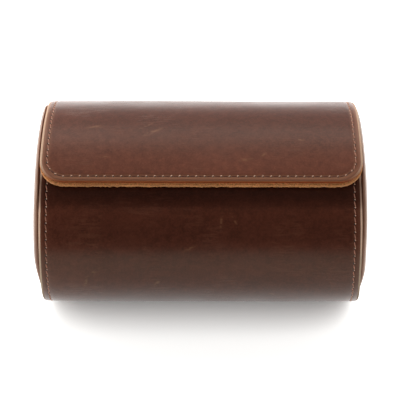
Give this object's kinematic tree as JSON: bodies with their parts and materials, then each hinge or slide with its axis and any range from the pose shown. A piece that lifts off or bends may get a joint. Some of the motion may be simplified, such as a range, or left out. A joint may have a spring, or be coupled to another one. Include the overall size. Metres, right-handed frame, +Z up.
{
  "type": "watch travel case",
  "caption": "Oval leather roll with a magnetic flap over the front, padded domed ends, a divider and removable watch pillows.",
  "frame": {"origin": "middle of the flattened base the roll rests on", "axes": "+X along the roll, -Y towards the front where the flap closes, +Z up"},
  "size_m": [0.1482, 0.106, 0.0829],
  "materials": {
    "hide": "satin",
    "suede": "matte",
    "pillow_suede": "matte",
    "board": "matte",
    "foam": "matte",
    "magnet": "satin"
  },
  "bodies": {
    "case": {"body_leather": "hide", "lip_binding": "hide", "divider_binding": "hide", "left_cap_leather": "hide", "right_cap_leather": "hide", "body_lining": "suede", "left_cap_lining": "suede", "right_cap_lining": "suede", "divider_left_lining": "suede", "divider_right_lining": "suede", "body_board": "board", "left_cap_board": "board", "right_cap_board": "board", "divider_board": "board", "left_cap_padding": "foam", "right_cap_padding": "foam", "body_magnets": "magnet"},
    "flap": {"flap_leather": "hide", "flap_stiffener": "board", "flap_lining": "suede", "flap_magnets": "magnet"},
    "left_pillow": {"left_pillow_foam": "foam", "left_pillow_sleeve": "pillow_suede", "left_pillow_outer_end": "pillow_suede", "left_pillow_inner_end": "pillow_suede"},
    "right_pillow": {"right_pillow_foam": "foam", "right_pillow_sleeve": "pillow_suede", "right_pillow_outer_end": "pillow_suede", "right_pillow_inner_end": "pillow_suede"}
  },
  "joints": [
    {"name": "flap_hinge", "type": "hinge", "parent": "case", "child": "flap", "pos_m": [0, 0.04981, 0.05361], "axis": [-1, 0, 0], "range_deg": [0, 160]},
    {"name": "left_pillow_lift", "type": "slide", "parent": "case", "child": "left_pillow", "axis": [0, 0, 1], "range_m": [0, 0.024]},
    {"name": "right_pillow_lift", "type": "slide", "parent": "case", "child": "right_pillow", "axis": [0, 0, 1], "range_m": [0, 0.024]}
  ]
}
